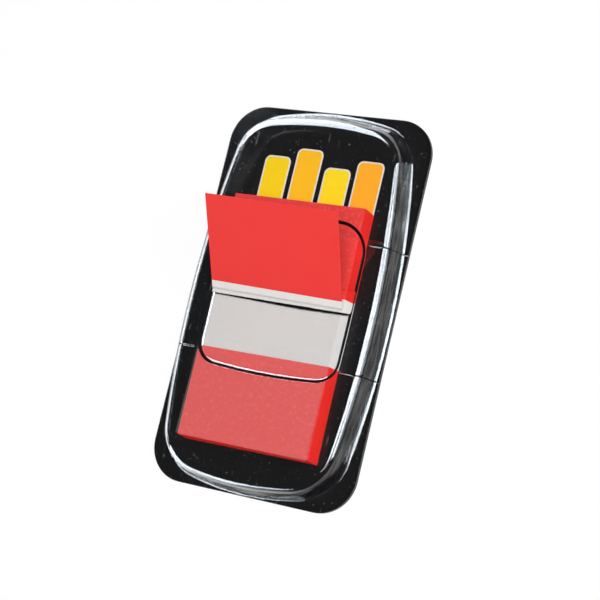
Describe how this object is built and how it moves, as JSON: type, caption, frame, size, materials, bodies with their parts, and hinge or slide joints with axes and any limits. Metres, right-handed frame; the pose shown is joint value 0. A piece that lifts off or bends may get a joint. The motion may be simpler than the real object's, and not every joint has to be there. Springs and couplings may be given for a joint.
{
  "type": "sticky index tab dispenser",
  "caption": "Pad of sticky film index tabs on a black card under a clear thermoformed cover, with the top tab drawn up through the cover's slot.",
  "frame": {"origin": "middle of the card's underside, the lowest face of the part", "axes": "+Y along the card towards its printed end, +Z out of the card through the clear cover, +X to the right seen from the front"},
  "size_m": [0.0392, 0.068, 0.0137],
  "materials": {
    "card_black": "black printed card, varnished",
    "clear_film": "clear thermoformed film, glossy",
    "tab_red": "translucent film with a red zone at each end in turn",
    "top_tab_red": "translucent film with a red end zone"
  },
  "bodies": {
    "root": {"backing_card": "card_black", "clear_cover": "clear_film", "tab_pad": "tab_red", "raised_tab": "top_tab_red"}
  },
  "joints": []
}
